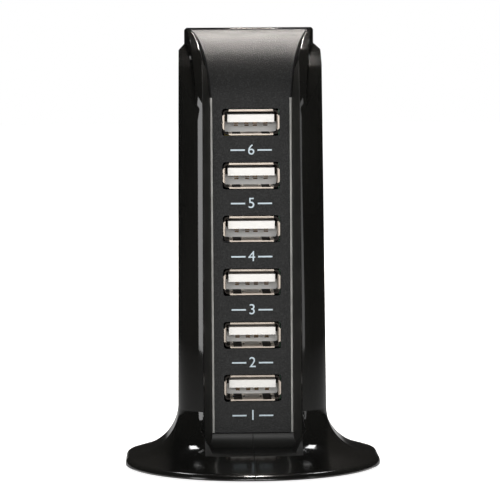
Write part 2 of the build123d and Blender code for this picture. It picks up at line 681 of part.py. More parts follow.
line_choke = line_choke + rod(choke_end, choke_end + CHOKE_FLANGE, PARTS_Y, choke_z, CHOKE_RADIUS)
line_choke = line_choke + rod(BOARD_X - CHOKE_FLANGE, BOARD_X, PARTS_Y, choke_z, CHOKE_RADIUS)
core_x = BOARD_X - TRANSFORMER_HEIGHT / 2
core_half = TRANSFORMER_LENGTH / 2
window_half = core_half - CORE_LEG
winding_half = TRANSFORMER_HEIGHT / 2 - CORE_LEG
core_low = PARTS_Y - CORE_THICKNESS / 2
core_high = PARTS_Y + CORE_THICKNESS / 2
winding_space = block(
    core_x - winding_half,
    core_x + winding_half,
    PARTS_Y - TRANSFORMER_DEPTH / 2,
    PARTS_Y + TRANSFORMER_DEPTH / 2,
    transformer_z - window_half,
    transformer_z + window_half,
)
centre_leg = block(
    core_x - CORE_LEG,
    core_x + CORE_LEG,
    core_low,
    core_high,
    transformer_z - core_half,
    transformer_z + core_half,
)
transformer_core = block(
    BOARD_X - TRANSFORMER_HEIGHT,
    BOARD_X,
    core_low,
    core_high,
    transformer_z - core_half,
    transformer_z + core_half,
)
transformer_core = (transformer_core - winding_space) + centre_leg
transformer_winding = winding_space - centre_leg


def lead(x, y, z):
    """An insulated lead from the top of the inlet to the face of the board."""
    path = Polyline((x, y, INLET_TOP_Z), (x, y, z), (BOARD_X, y, z))
    face = Plane(origin=path @ 0, z_dir=path % 0) * Circle(LEAD_RADIUS)
    return sweep(face, path=path, transition=Transition.RIGHT)


nodes = {
    "housing_left": housing_left,
    "housing_right": housing_right,
    "front_panel": front_panel,
    "base_plate": base_plate,
    "base_screws": base_screws,
    "mains_inlet": mains_inlet,
    "inlet_pins": inlet_pins,
    "main_board": main_board,
    "board_screws": board_screws,
    "fuse": fuse,
    "line_capacitor": line_capacitor,
    "line_choke": line_choke,
    "transformer_core": transformer_core,
    "transformer_winding": transformer_winding,
    "bridge_rectifier": back_parts[0],
    "switching_chip": back_parts[1],
    "opto_coupler": back_parts[2],
    "output_rectifier": back_parts[3],
    "live_lead": lead(PIN_SPACING / 2, LIVE_LEAD_Y, LIVE_LEAD_Z),
    "neutral_lead": lead(-PIN_SPACING / 2, NEUTRAL_LEAD_Y, NEUTRAL_LEAD_Z),
}
nodes.update(feet)
for number, z in enumerate(reservoir_zs, 1):
    nodes[f"reservoir_capacitor_{number}"] = can(PARTS_Y, z, RESERVOIR_RADIUS, RESERVOIR_HEIGHT)
outputs = ((LOW_OUTPUT_Y, LOW_OUTPUT_DROP), (HIGH_OUTPUT_Y, HIGH_OUTPUT_DROP))
for number, (y, drop) in enumerate(outputs, 1):
    nodes[f"output_capacitor_{number}"] = can(y, TOTAL_HEIGHT - drop, OUTPUT_RADIUS, OUTPUT_HEIGHT)
for number, z in port_places():
    place = Pos(0, SHELL_FRONT, z)
    nodes[f"usb_shell_{number}"] = place * shell
    nodes[f"usb_insulator_{number}"] = place * insulator
    nodes[f"usb_contacts_{number}"] = [place * strip for strip in contacts]
for name, shape in nodes.items():
    pieces = shape if isinstance(shape, list) else [shape]
    placed = [Pos(0, -BASE_MIDDLE, 0) * piece for piece in pieces]
    export_step(Compound(children=placed) if len(placed) > 1 else placed[0], f"parts/{name}.step")
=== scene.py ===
"""The looks of an upright desktop charger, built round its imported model."""

import json
import logging
import math
from dataclasses import dataclass, field
from enum import Enum
from typing import Any

import bpy
from mathutils import Matrix, Vector


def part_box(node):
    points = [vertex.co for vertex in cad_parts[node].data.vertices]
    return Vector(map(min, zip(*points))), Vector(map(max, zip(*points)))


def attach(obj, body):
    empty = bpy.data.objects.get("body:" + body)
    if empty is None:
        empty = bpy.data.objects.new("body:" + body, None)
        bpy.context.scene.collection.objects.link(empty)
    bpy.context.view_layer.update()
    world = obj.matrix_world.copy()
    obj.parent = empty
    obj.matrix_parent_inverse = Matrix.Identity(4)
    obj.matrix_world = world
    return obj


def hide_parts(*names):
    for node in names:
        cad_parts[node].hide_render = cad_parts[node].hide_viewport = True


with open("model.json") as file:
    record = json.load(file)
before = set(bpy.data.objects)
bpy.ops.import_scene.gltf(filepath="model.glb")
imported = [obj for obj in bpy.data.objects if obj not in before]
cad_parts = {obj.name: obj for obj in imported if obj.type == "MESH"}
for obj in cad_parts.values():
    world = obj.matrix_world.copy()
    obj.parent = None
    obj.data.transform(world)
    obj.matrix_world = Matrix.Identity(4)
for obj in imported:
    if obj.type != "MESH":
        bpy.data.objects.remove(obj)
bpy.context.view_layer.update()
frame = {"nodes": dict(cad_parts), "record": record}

LOG = logging.getLogger("charger")
MM = 0.001
BODY = "root"
PORT_COUNT = 6
EDGE_SAMPLES = 6
Colour = tuple[float, float, float]
Range = tuple[float, float]
Point = tuple[float, float, float]


class Axis(Enum):
    """A direction of the model's frame."""

    X = 0
    Y = 1
    Z = 2


class Value:
    """A shader socket that Python's operators turn into Math nodes."""

    def __init__(self, paint: "Paint", socket: bpy.types.NodeSocket) -> None:
        """Keeps the socket and the material that it belongs to."""
        self.paint = paint
        self.socket = socket

    def math(self, operation: str, first: Any, second: Any = None) -> "Value":
        """Adds one Math node.

        Args:
            operation: The node's operation.
            first: The first value, a number or a Value.
            second: The second value, where the operation takes one.

        Returns:
            The node's result.
        """
        inputs = {0: first} if second is None else {0: first, 1: second}
        made = self.paint.node("ShaderNodeMath", {"operation": operation}, inputs)
        return Value(self.paint, made.outputs[0])

    def __add__(self, other: Any) -> "Value":
        """This value plus another."""
        return self.math("ADD", self, other)

    __radd__ = __add__

    def __sub__(self, other: Any) -> "Value":
        """This value less another."""
        return self.math("SUBTRACT", self, other)

    def __rsub__(self, other: Any) -> "Value":
        """Another value less this one."""
        return self.math("SUBTRACT", other, self)

    def __mul__(self, other: Any) -> "Value":
        """This value times another."""
        return self.math("MULTIPLY", self, other)

    def __truediv__(self, other: Any) -> "Value":
        """This value over another."""
        return self.math("DIVIDE", self, other)

    def __abs__(self) -> "Value":
        """This value without its sign."""
        return self.math("ABSOLUTE", self)

    def most(self, other: Any) -> "Value":
        """The larger of this value and another."""
        return self.math("MAXIMUM", self, other)

    def least(self, other: Any) -> "Value":
        """The smaller of this value and another."""
        return self.math("MINIMUM", self, other)

    def __lt__(self, other: Any) -> "Value":
        """One where this value is below another, else nought."""
        return self.math("LESS_THAN", self, other)

    def __gt__(self, other: Any) -> "Value":
        """One where this value is above another, else nought."""
        return self.math("GREATER_THAN", self, other)


class Paint:
    """A material under construction, with one Principled shader."""

    def __init__(self, name: str) -> None:
        """Starts the material with its shader and output."""
        self.material = bpy.data.materials.new(name)
        self.material.use_nodes = True
        self.tree = self.material.node_tree
        self.tree.nodes.clear()
        self.shader = self.node("ShaderNodeBsdfPrincipled")
        self.node("ShaderNodeOutputMaterial", inputs={"Surface": self.shader.outputs[0]})
        self.place = self.node("ShaderNodeTexCoord").outputs["Object"]

    def node(
        self,
        kind: str,
        settings: dict[str, Any] | None = None,
        inputs: dict[str | int, Any] | None = None,
    ) -> bpy.types.Node:
        """Adds any node.

        Args:
            kind: The node's type.
            settings: Its own settings; "stops" gives a ramp's positions and colours.
            inputs: A value, a Value or a socket for each named or numbered input.

        Returns:
            The node.
        """
        made = self.tree.nodes.new(kind)
        for key, value in (settings or {}).items():
            if key == "stops":
                self.set_stops(made, value)
            else:
                setattr(made, key, value)
        for key, value in (inputs or {}).items():
            self.plug(made.inputs[key], value)
        return made

    def plug(self, target: bpy.types.NodeSocket, value: Any) -> None:
        """Links a Value or a socket to an input, or sets a plain value on it."""
        source = value.socket if isinstance(value, Value) else value
        if isinstance(source, bpy.types.NodeSocket):
            self.tree.links.new(source, target)
        else:
            target.default_value = source

    @staticmethod
    def set_stops(ramp: bpy.types.Node, stops: list[tuple[float, float]]) -> None:
        """Gives a ramp its stops, as pairs of position and grey level."""
        elements = ramp.color_ramp.elements
        for (position, level), element in zip(stops, elements):
            element.position = position
            element.color = (level, level, level, 1.0)

    def along(self, axis: Axis) -> Value:
        """The distance from the origin along an axis, in metres."""
        made = self.node("ShaderNodeSeparateXYZ", inputs={0: self.place})
        return Value(self, made.outputs[axis.value])

    def noise(self, size: float, stretch: Colour = (1.0, 1.0, 1.0), detail: float = 3.0) -> Value:
        """Soft random variation.

        Args:
            size: The size of its patches in metres.
            stretch: How far the patches are drawn out along each axis.
            detail: How many finer layers it has.

        Returns:
            A value around one half.
        """
        scale = [1.0 / factor for factor in stretch]
        mapped = self.node("ShaderNodeMapping", inputs={"Vector": self.place, "Scale": scale})
        made = self.node(
            "ShaderNodeTexNoise",
            inputs={"Vector": mapped.outputs[0], "Scale": 1.0 / size, "Detail": detail},
        )
        return Value(self, made.outputs[0])

    def cells(self, size: float) -> Value:
        """Small random cells, for a grained mould surface."""
        made = self.node("ShaderNodeTexVoronoi", inputs={"Vector": self.place, "Scale": 1.0 / size})
        return Value(self, made.outputs["Distance"])

    def ramp(self, value: Value, low: float, high: float) -> Value:
        """A value stretched so that low becomes nought and high becomes one."""
        made = self.node("ShaderNodeValToRGB", {"stops": [(low, 0.0), (high, 1.0)]}, {0: value})
        return Value(self, made.outputs[0])

    def colour_between(self, first: Any, second: Colour, share: Value) -> bpy.types.NodeSocket:
        """A colour that goes from one to another with a value.

        Args:
            first: The colour at nought, or the socket that gives it.
            second: The colour at one.
            share: The value.

        Returns:
            The mixed colour.
        """
        start = first if isinstance(first, bpy.types.NodeSocket) else (*first, 1.0)
        made = self.node(
            "ShaderNodeMix",
            {"data_type": "RGBA"},
            {0: share, 6: start, 7: (*second, 1.0)},
        )
        return made.outputs[2]

    def relief(self, height: Value, depth: float, edge: float = 0.0) -> None:
        """Gives the surface a bump.

        Args:
            height: The bump's pattern.
            depth: Its depth in metres.
            edge: The radius in metres to which sharp edges look rounded.
        """
        inputs: dict[str | int, Any] = {"Height": height, "Distance": depth}
        if edge:
            rounded = self.node("ShaderNodeBevel", {"samples": EDGE_SAMPLES}, {"Radius": edge})
            inputs["Normal"] = rounded.outputs[0]
        made = self.node("ShaderNodeBump", inputs=inputs)
        self.feed("Normal", made.outputs[0])

    def feed(self, name: str, value: Any) -> None:
        """Sets or links one input of the shader."""
        self.plug(self.shader.inputs[name], value)


def shade(tone: Colour, factor: float) -> Colour:
    """A tone made darker or lighter by a factor."""
    return (tone[0] * factor, tone[1] * factor, tone[2] * factor)


@dataclass(frozen=True)
class PolishedShell:
    """High gloss moulded plastic, with the parting line between its two halves."""

    name: str
    tone: Colour
    roughness: float = 0.03
    smear: float = 0.02
    smear_size: float = 14 * MM
    smear_stretch: Colour = (1.0, 1.0, 2.5)
    smear_range: Range = (0.35, 0.7)
    smear_lift: float = 1.4
    ripple_size: float = 5 * MM
    ripple_depth: float = 0.004 * MM
    edge: float = 0.24 * MM
    seam_half_width: float = 0.07 * MM
    seam_roughness: float = 0.4
    seam_depth: float = 0.8
    dust: float = 0.12
    dust_low: float = 3.5 * MM
    dust_high: float = 6.5 * MM
    wall_half_width: float = 11.55 * MM
    wall_low: float = 4.2 * MM
    wall_roughness: float = 0.46
    wall_tone: Colour = (0.013, 0.013, 0.0115)

    def material(self) -> bpy.types.Material:
        """Makes the material."""
        paint = Paint(self.name)
        smear = paint.ramp(paint.noise(self.smear_size, self.smear_stretch), *self.smear_range)
        side = abs(paint.along(Axis.X))
        seam = side < self.seam_half_width
        height = (self.dust_high - paint.along(Axis.Z)) / (self.dust_high - self.dust_low)
        dust = height.most(0.0).least(1.0)
        wall = (side < self.wall_half_width) * (paint.along(Axis.Y) < 0.0)
        wall = wall * (paint.along(Axis.Z) > self.wall_low)
        polished = paint.colour_between(self.tone, shade(self.tone, self.smear_lift), smear)
        paint.feed("Base Color", paint.colour_between(polished, self.wall_tone, wall))
        rough = self.roughness + smear * self.smear + dust * self.dust
        rough = rough + seam * self.seam_roughness
        paint.feed("Roughness", rough + wall * self.wall_roughness)
        ripple = paint.noise(self.ripple_size) - seam * self.seam_depth
        paint.relief(ripple, self.ripple_depth, self.edge)
        return paint.material


@dataclass(frozen=True)
class MouldedPlastic:
    """Satin or matte plastic with a fine mould grain."""

    name: str
    tone: Colour
    roughness: float = 0.45
    grain_size: float = 0.3 * MM
    grain_depth: float = 0.01 * MM
    grain_roughness: float = 0.06
    mottle: float = 0.18
    mottle_size: float = 3 * MM
    mottle_roughness: float = 0.12

    def material(self) -> bpy.types.Material:
        """Makes the material."""
        paint = Paint(self.name)
        mottle = paint.noise(self.mottle_size)
        grain = paint.cells(self.grain_size)
        low = shade(self.tone, 1 - self.mottle)
        high = shade(self.tone, 1 + self.mottle)
        paint.feed("Base Color", paint.colour_between(low, high, mottle))
        rough = self.roughness + (mottle - 0.5) * self.mottle_roughness
        paint.feed("Roughness", rough + (grain - 0.5) * self.grain_roughness)
        paint.relief(grain, self.grain_depth)
        return paint.material


@dataclass(frozen=True)
class SatinPanel:
    """Satin plastic with a fine mould grain, with a pale painted highlight along its two upright
    edges.
    """

    name: str
    tone: Colour
    # Colour of the painted highlight along the two upright edges.
    rubbed: Colour = (0.6, 0.6, 0.57)
    roughness: float = 0.34
    specular: float = 0.1
    grain_size: float = 0.24 * MM
    grain_depth: float = 0.05 * MM
    grain_roughness: float = 0.08
    grain_dark: float = 0.45
    grain_light: float = 1.9
    edge_x: float = 9.22 * MM
    edge_top: float = 88 * MM
    wear_size: float = 1.6 * MM
    wear_stretch: Colour = (1.0, 1.0, 3.0)
    wear_range: Range = (0.25, 0.6)
    wear_least: float = 0.6

    def material(self) -> bpy.types.Material:
        """Makes the material."""
        paint = Paint(self.name)
        grain = paint.cells(self.grain_size)
        highlight = paint.ramp(paint.noise(self.wear_size, self.wear_stretch), *self.wear_range)
        edge = (abs(paint.along(Axis.X)) > self.edge_x) * (paint.along(Axis.Z) < self.edge_top)
        dark = shade(self.tone, self.grain_dark)
        light = shade(self.tone, self.grain_light)
        body = paint.colour_between(dark, light, grain)
        # Painted highlight: pale colour along the upright edges below edge_top, patchy with noise,
        # stands in for lit edges.
        painted_highlight = edge * (highlight * (1 - self.wear_least) + self.wear_least)
        paint.feed("Base Color", paint.colour_between(body, self.rubbed, painted_highlight))
        paint.feed("Roughness", self.roughness + (grain - 0.5) * self.grain_roughness)
        paint.feed("Specular IOR Level", self.specular)
        paint.relief(grain, self.grain_depth)
        return paint.material


@dataclass(frozen=True)
class DrawnGrain:
    """The fine strokes and dull patches of drawn, plated metal."""

    along: Axis = Axis.Y
    stroke_size: float = 0.15 * MM
    stroke_length: float = 18.0
    stroke_detail: float = 2.0
    stroke_roughness: float = 0.12
    stroke_depth: float = 0.004 * MM
    patch_size: float = 2.2 * MM
    patch_range: Range = (0.4, 0.75)

    def strokes(self, paint: Paint) -> Value:
        """The strokes, drawn out along one axis."""
        stretch = [1.0, 1.0, 1.0]
        stretch[self.along.value] = self.stroke_length
        drawn = (stretch[0], stretch[1], stretch[2])
        return paint.noise(self.stroke_size, drawn, self.stroke_detail)

    def patches(self, paint: Paint) -> Value:
        """The dull patches."""
        return paint.ramp(paint.noise(self.patch_size), *self.patch_range)


@dataclass(frozen=True)
class PlatedMetal:
    """Plated metal drawn along one axis, a little dull in patches."""

    name: str
    tone: Colour
    roughness: float = 0.24
    dull: float = 0.2
    patch_shade: float = 0.72
    grain: DrawnGrain = DrawnGrain()

    def material(self) -> bpy.types.Material:
        """Makes the material."""
        paint = Paint(self.name)
        strokes = self.grain.strokes(paint)
        patches = self.grain.patches(paint)
        worn = shade(self.tone, self.patch_shade)
        paint.feed("Base Color", paint.colour_between(self.tone, worn, patches))
        paint.feed("Metallic", 1.0)
        rough = self.roughness + strokes * self.grain.stroke_roughness
        paint.feed("Roughness", rough + patches * self.dull)
        paint.relief(strokes, self.grain.stroke_depth)
        return paint.material


@dataclass(frozen=True)
class PortRow:
    """The stack of ports: the height of the lowest and the step to the next."""

    lowest: float = 18.7 * MM
    pitch: float = 12.7 * MM

    def level(self, paint: Paint) -> Value:
        """The height above the middle of the nearest port, in metres."""
        height = paint.along(Axis.Z) - (self.lowest - self.pitch / 2)
        return height.math("FLOORED_MODULO", height, self.pitch) - self.pitch / 2


@dataclass(frozen=True)
class PortTongue:
    """White moulded plastic, duller and darkened by painted shade in the narrow gap round the
    tongue.
    """

    name: str
    tone: Colour
    # Colour of the painted shade in the gap round the tongue.
    gap_tone: Colour = (0.02, 0.016, 0.012)
    tongue_top: float = 1.85 * MM
    tongue_low: float = -0.05 * MM
    tongue_side: float = 5.6 * MM
    roughness: float = 0.4
    gap_roughness: float = 0.3
    grain_size: float = 0.3 * MM
    grain_depth: float = 0.01 * MM
    grain_roughness: float = 0.06
    mottle_size: float = 3 * MM
    mottle_shade: float = 0.97
    row: PortRow = PortRow()

    def material(self) -> bpy.types.Material:
        """Makes the material."""
        paint = Paint(self.name)
        grain = paint.cells(self.grain_size)
        level = self.row.level(paint)
        beside = (abs(paint.along(Axis.X)) > self.tongue_side) * (level > self.tongue_low)
        gap = beside.most(level > self.tongue_top)
        mottle = paint.noise(self.mottle_size)
        clean = paint.colour_between(shade(self.tone, self.mottle_shade), self.tone, mottle)
        # Painted shade: the colour turns dark in the recess above and beside the tongue.
        paint.feed("Base Color", paint.colour_between(clean, self.gap_tone, gap))
        rough = self.roughness + grain * self.grain_roughness
        paint.feed("Roughness", rough + gap * self.gap_roughness)
        paint.relief(grain, self.grain_depth)
        return paint.material


@dataclass(frozen=True)
class PortShell:
    """Plated sheet round a port, with painted shade where it is cut at its corners and floor
    springs.
    """

    name: str
    tone: Colour
    # Colour of the painted shade in the openings at the corners and floor springs.
    cut_tone: Colour = (0.018, 0.013, 0.009)
    metallic: float = 0.4
    roughness: float = 0.3
    cut_roughness: float = 0.4
    patch_shade: float = 0.85
    grain: DrawnGrain = DrawnGrain()
    row: PortRow = PortRow()
    corner_x: float = 5.3 * MM
    corner_z: float = 1.75 * MM
    spring_x: float = 3.5 * MM
    spring_half: float = 1.0 * MM
    spring_z: float = -2.4 * MM
    lip_z: float = -2.75 * MM

    def material(self) -> bpy.types.Material:
        """Makes the material."""
        paint = Paint(self.name)
        strokes = self.grain.strokes(paint)
        patches = self.grain.patches(paint)
        side = abs(paint.along(Axis.X))
        level = self.row.level(paint)
        corner = (side > self.corner_x) * (abs(level) > self.corner_z)
        floor = (level < self.spring_z) * (level > self.lip_z)
        spring = (abs(side - self.spring_x) < self.spring_half) * floor
        cut = corner.most(spring)
        sheet = paint.colour_between(self.tone, shade(self.tone, self.patch_shade), patches)
        # Painted shade: the cut openings are painted dark, rough and not metallic for the dark
        # space behind them.
        paint.feed("Base Color", paint.colour_between(sheet, self.cut_tone, cut))
        paint.feed("Metallic", (1.0 - cut) * self.metallic)
        rough = self.roughness + strokes * self.grain.stroke_roughness
        paint.feed("Roughness", rough + cut * self.cut_roughness)
        paint.relief(strokes, self.grain.stroke_depth)
        return paint.material


@dataclass(frozen=True)
class RubberPad:
    """Matte rubber with dust in its pores."""

    name: str
    tone: Colour
    roughness: float = 0.8
    pore_size: float = 0.4 * MM
    pore_depth: float = 0.03 * MM
    pore_roughness: float = 0.15
    dust_size: float = 1.5 * MM
    dust_range: Range = (0.45, 0.8)
    dust_lift: float = 2.0

    def material(self) -> bpy.types.Material:
        """Makes the material."""
        paint = Paint(self.name)
        pores = paint.cells(self.pore_size)
        dust = paint.ramp(paint.noise(self.dust_size), *self.dust_range)
        dusty = shade(self.tone, self.dust_lift)
        paint.feed("Base Color", paint.colour_between(self.tone, dusty, dust))
        paint.feed("Roughness", self.roughness + pores * self.pore_roughness)
        paint.relief(pores, self.pore_depth)
        return paint.material


@dataclass(frozen=True)
class PrintedInk:
    """Screen printed ink, slightly uneven."""

    name: str
    tone: Colour
    roughness: float = 0.45
    cover_size: float = 0.2 * MM
    cover_depth: float = 0.004 * MM
    cover_roughness: float = 0.2
    thin_shade: float = 0.9

    def material(self) -> bpy.types.Material:
        """Makes the material."""
        paint = Paint(self.name)
        cover = paint.noise(self.cover_size)
        thin = shade(self.tone, self.thin_shade)
        paint.feed("Base Color", paint.colour_between(thin, self.tone, cover))
        paint.feed("Roughness", self.roughness + cover * self.cover_roughness)
        paint.relief(cover, self.cover_depth)
        return paint.material


Finish = (
    PolishedShell
    | MouldedPlastic
    | SatinPanel
    | PlatedMetal
    | PortTongue
    | PortShell
    | RubberPad
    | PrintedInk
)

BLACK = (0.006, 0.006, 0.0055)
WARM = (1.0, 0.94, 0.89)
INK = PrintedInk("pale_print", (0.56, 0.66, 0.72))
FINISHES: dict[str, Finish] = {
    finish.name: finish
    for finish in (
        PolishedShell("gloss_black", BLACK),
        SatinPanel("satin_grey", (0.019, 0.0193, 0.0193)),
        MouldedPlastic("base_black", (0.012, 0.012, 0.012), 0.55),
        RubberPad("rubber_black", (0.02, 0.02, 0.02)),
        PlatedMetal("screw_steel", (0.5, 0.5, 0.5), grain=DrawnGrain(Axis.Z)),
        PortShell("shell_nickel", (0.5, 0.435, 0.37)),
        PortTongue("tongue_white", (0.88, 0.87, 0.84)),
        # Painted shade: the contacts' tone is darkened from gold to dark bronze because they sit in
        # shade under the tongue.
        PlatedMetal("contact_gold", (0.085, 0.055, 0.032), 0.3),
        MouldedPlastic("inlet_black", (0.014, 0.014, 0.014), 0.42),
        PlatedMetal("pin_nickel", (0.65, 0.62, 0.55), 0.2),
        MouldedPlastic("board_green", (0.03, 0.16, 0.07), 0.35, mottle=0.25),
        MouldedPlastic("fuse_brown", (0.08, 0.035, 0.02)),
        MouldedPlastic("film_yellow", (0.7, 0.5, 0.05)),
        MouldedPlastic("choke_ferrite", (0.06, 0.06, 0.06), 0.7),
        MouldedPlastic("core_ferrite", (0.05, 0.05, 0.05), 0.7),
        MouldedPlastic("winding_tape", (0.75, 0.6, 0.1), 0.35),
        MouldedPlastic("chip_black", (0.02, 0.02, 0.02), 0.6),
        MouldedPlastic("lead_brown", (0.15, 0.06, 0.02), 0.5),
        MouldedPlastic("lead_blue", (0.03, 0.08, 0.35), 0.5),
        MouldedPlastic("sleeve_black", (0.02, 0.02, 0.03), 0.3),
        MouldedPlastic("sleeve_green", (0.02, 0.1, 0.06), 0.3),
    )
}


class Wardrobe:
    """The finished materials, each made once."""

    def __init__(self) -> None:
        """Starts with none made."""
        self.made: dict[str, bpy.types.Material] = {}

    def get(self, finish: Finish) -> bpy.types.Material:
        """The material of a finish, made the first time it is asked for."""
        if finish.name not in self.made:
            self.made[finish.name] = finish.material()
        return self.made[finish.name]

    def put_on(self, piece: bpy.types.Object, finish: Finish) -> None:
        """Gives a piece one finish all over."""
        piece.data.materials.clear()
        piece.data.materials.append(self.get(finish))

    def dress_nodes(self) -> None:
        """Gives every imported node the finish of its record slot."""
        for row in frame["record"]["subparts"]:
            node = frame["nodes"][row["node"]]
            material = self.get(FINISHES[row["material_slot"]])
            for place in node.material_slots:
                place.material = material
            LOG.info("dressed %s as %s", row["node"], row["material_slot"])


def deselect() -> None:
    """Leaves object mode with nothing selected."""
    if bpy.context.object and bpy.context.object.mode != "OBJECT":
        bpy.ops.object.mode_set(mode="OBJECT")
    bpy.ops.object.select_all(action="DESELECT")


def focus(piece: bpy.types.Object) -> None:
    """Selects one piece alone and makes it active."""
    deselect()
    piece.select_set(True)
    bpy.context.view_layer.objects.active = piece


def settle(piece: bpy.types.Object) -> None:
    """Moves a piece's place, turn and size into its mesh."""
    focus(piece)
    bpy.ops.object.transform_apply(location=True, rotation=True, scale=True)


def copy_of(piece: bpy.types.Object, step: Vector) -> bpy.types.Object:
    """Copies a piece with a mesh of its own.

    Args:
        piece: The piece, with its place in its mesh.
        step: The way from it to the copy.

    Returns:
        The copy, with its place in its mesh too.
    """
    focus(piece)
    bpy.ops.object.duplicate(linked=False)
    made = bpy.context.object
    made.location = step
    settle(made)
    return made


def joined(parts: list[bpy.types.Object], name: str) -> bpy.types.Object:
    """Joins parts into one named piece."""
    deselect()
    for part in parts:
        part.select_set(True)
    bpy.context.view_layer.objects.active = parts[0]
    bpy.ops.object.join()
    made = bpy.context.object
    made.name = name
    return made


def middle(node: str) -> Vector:
    """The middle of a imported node's box."""
    low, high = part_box(node)
    return (Vector(low) + Vector(high)) / 2


@dataclass
class PortMarks:
    """A plain number between two bars, printed under each port."""

    wardrobe: Wardrobe
    count: int = PORT_COUNT
    drop: float = 6.6 * MM
    text_size: float = 3.5 * MM
    bar_length: float = 3.4 * MM
    bar_height: float = 0.36 * MM
    bar_gap: float = 1.5 * MM
    bar_edge: float = 0.015 * MM
    proud: float = 0.04 * MM
    sunk: float = 0.02 * MM
    pieces: list[bpy.types.Object] = field(default_factory=list)

    def number(self, port: int, at: Vector) -> bpy.types.Object:
        """Prints one number.

        Args:
            port: The port's number.
            at: The middle of the mark on the panel's face.

        Returns:
            The number as a mesh.
        """
        deselect()
        bpy.ops.object.text_add(location=(0.0, 0.0, 0.0))
        text = bpy.context.object
        text.data.body = str(port)
        text.data.align_x = "CENTER"
        text.data.align_y = "CENTER"
        text.data.size = self.text_size
        text.data.extrude = (self.proud + self.sunk) / 2
        bpy.ops.object.convert(target="MESH")
        made = bpy.context.object
        made.rotation_euler = (math.pi / 2, 0.0, 0.0)
        made.location = at + Vector((0.0, (self.sunk - self.proud) / 2, 0.0))
        settle(made)
        return made

    def bar(self, at: Vector) -> bpy.types.Object:
        """Prints one bar with softened ends, its middle at a point."""
        deselect()
        bpy.ops.mesh.primitive_cube_add(size=1.0, location=at)
        made = bpy.context.object
        made.scale = (self.bar_length, self.proud + self.sunk, self.bar_height)
        made.location.y += (self.sunk - self.proud) / 2
        settle(made)
        bpy.ops.object.mode_set(mode="EDIT")
        bpy.ops.mesh.select_all(action="SELECT")
        bpy.ops.mesh.bevel(offset=self.bar_edge, segments=1)
        bpy.ops.object.mode_set(mode="OBJECT")
        return made

    def build(self) -> None:
        """Prints the mark of every port."""
        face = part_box("front_panel")[0][1]
        aside = Vector((self.bar_gap + self.bar_length / 2, 0.0, 0.0))
        pattern = self.bar(Vector((0.0, 0.0, 0.0)))
        for port in range(1, self.count + 1):
            centre = middle(f"usb_shell_{port}")
            at = Vector((centre.x, face, centre.z - self.drop))
            bars = [copy_of(pattern, at - aside), copy_of(pattern, at + aside)]
            mark = joined([self.number(port, at), *bars], f"port_mark_{port}")
            self.wardrobe.put_on(mark, INK)
            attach(mark, BODY)
            self.pieces.append(mark)
        bpy.data.objects.remove(pattern)


@dataclass
class ContactSprings:
    """The four sprung contacts that bow down under the tongue of each port."""

    wardrobe: Wardrobe
    count: int = PORT_COUNT
    across: tuple[float, ...] = (-3.5 * MM, -1.0 * MM, 1.0 * MM, 3.5 * MM)
    width: float = 0.98 * MM
    sheet: float = 0.2 * MM
    tip_length: float = 0.2 * MM
    edge: float = 0.03 * MM
    edge_steps: int = 2
    start: tuple[float, float] = (2.6 * MM, -0.22 * MM)
    bends: tuple[tuple[float, float], ...] = (
        (0.3 * MM, -0.5 * MM),
        (0.6 * MM, -0.14 * MM),
        (1.2 * MM, 0.08 * MM),
        (1.4 * MM, 0.36 * MM),
    )
    pieces: list[bpy.types.Object] = field(default_factory=list)

    def spring(self, at: Vector) -> bpy.types.Object:
        """Bends one contact from a strip.

        Args:
            at: The middle of the port's mouth, at the contact's place across it.

        Returns:
            The contact.
        """
        deselect()
        place = at + Vector((0.0, self.start[0], self.start[1]))
        bpy.ops.mesh.primitive_cube_add(size=1.0, location=place)
        made = bpy.context.object
        made.scale = (self.width, self.tip_length, self.sheet)
        settle(made)
        for side in made.data.polygons:
            side.select = side.normal.y > 0.5
        bpy.ops.object.mode_set(mode="EDIT")
        bpy.ops.mesh.select_mode(type="FACE")
        for back, up in self.bends:
            bpy.ops.mesh.extrude_region_move(TRANSFORM_OT_translate={"value": (0.0, back, up)})
        bpy.ops.mesh.select_all(action="SELECT")
        bpy.ops.mesh.bevel(offset=self.edge, segments=self.edge_steps, affect="EDGES")
        bpy.ops.object.mode_set(mode="OBJECT")
        return made

    def build(self) -> None:
        """Fits the contacts of every port."""
        pattern = self.spring(Vector((0.0, 0.0, 0.0)))
        for port in range(1, self.count + 1):
            shell = f"usb_shell_{port}"
            centre = middle(shell)
            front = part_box(shell)[0][1]
            places = [Vector((centre.x + x, front, centre.z)) for x in self.across]
            row = joined([copy_of(pattern, at) for at in places], f"contact_springs_{port}")
            self.wardrobe.put_on(row, FINISHES["contact_gold"])
            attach(row, BODY)
            self.pieces.append(row)
        bpy.data.objects.remove(pattern)


